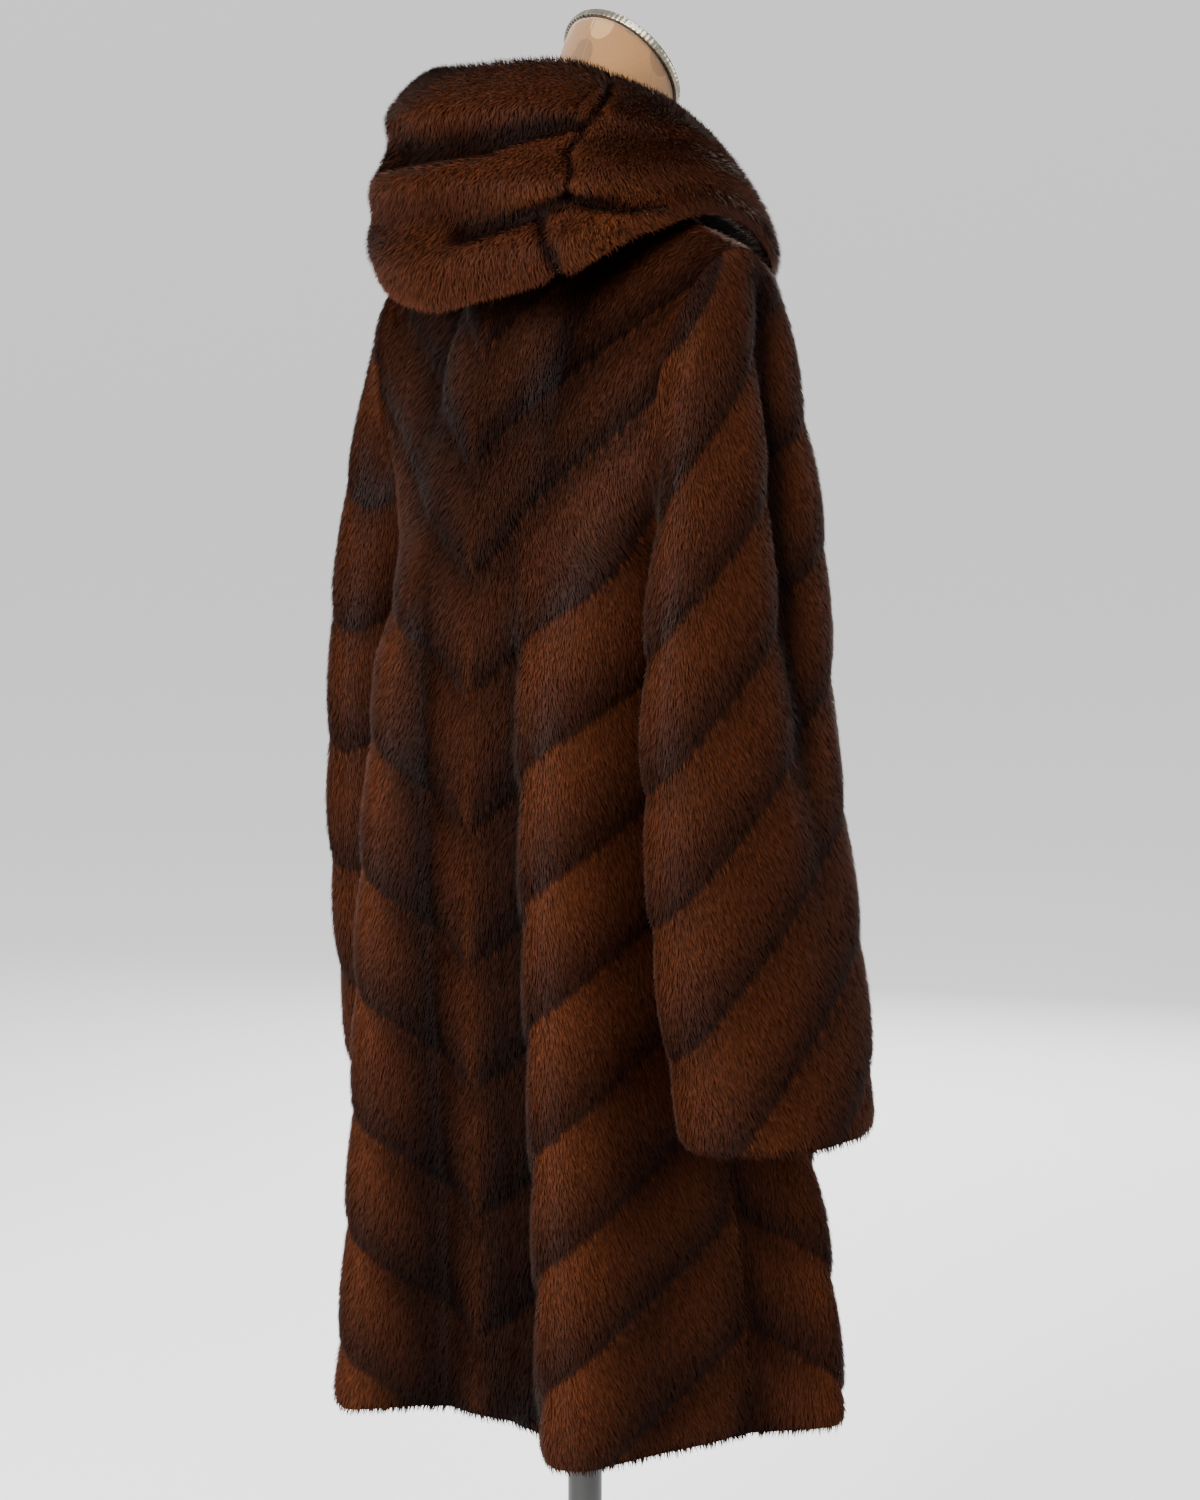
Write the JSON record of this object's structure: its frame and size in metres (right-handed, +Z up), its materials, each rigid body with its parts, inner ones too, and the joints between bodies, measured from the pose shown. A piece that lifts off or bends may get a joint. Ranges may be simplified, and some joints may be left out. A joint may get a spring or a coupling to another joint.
{
  "type": "hooded fur coat on dress form",
  "caption": "Knee-length hooded fur coat of chevron pelts, hanging open at neck, hem and cuffs on a limbless dress form with a pole and a round base.",
  "frame": {"origin": "on the floor, under the middle of the part", "axes": "+Z up, the wearer's front faces -Y, the wearer's left is +X"},
  "size_m": [0.5376, 0.38, 1.4695],
  "materials": {
    "fur": "dense glossy fur",
    "linen": "woven cloth stretched over the form",
    "cap": "cloth-covered cap",
    "rim": "thin nickel-coloured metal",
    "stand": "satin black paint"
  },
  "bodies": {
    "root": {"back": "fur", "front_left": "fur", "front_right": "fur", "sleeve_left": "fur", "sleeve_right": "fur", "hood_centre": "fur", "hood_side_left": "fur", "hood_side_right": "fur", "form_torso": "linen", "neck_cap": "cap", "neck_rim": "rim", "pole": "stand", "base_plate": "stand", "base_collar": "stand"}
  },
  "joints": []
}
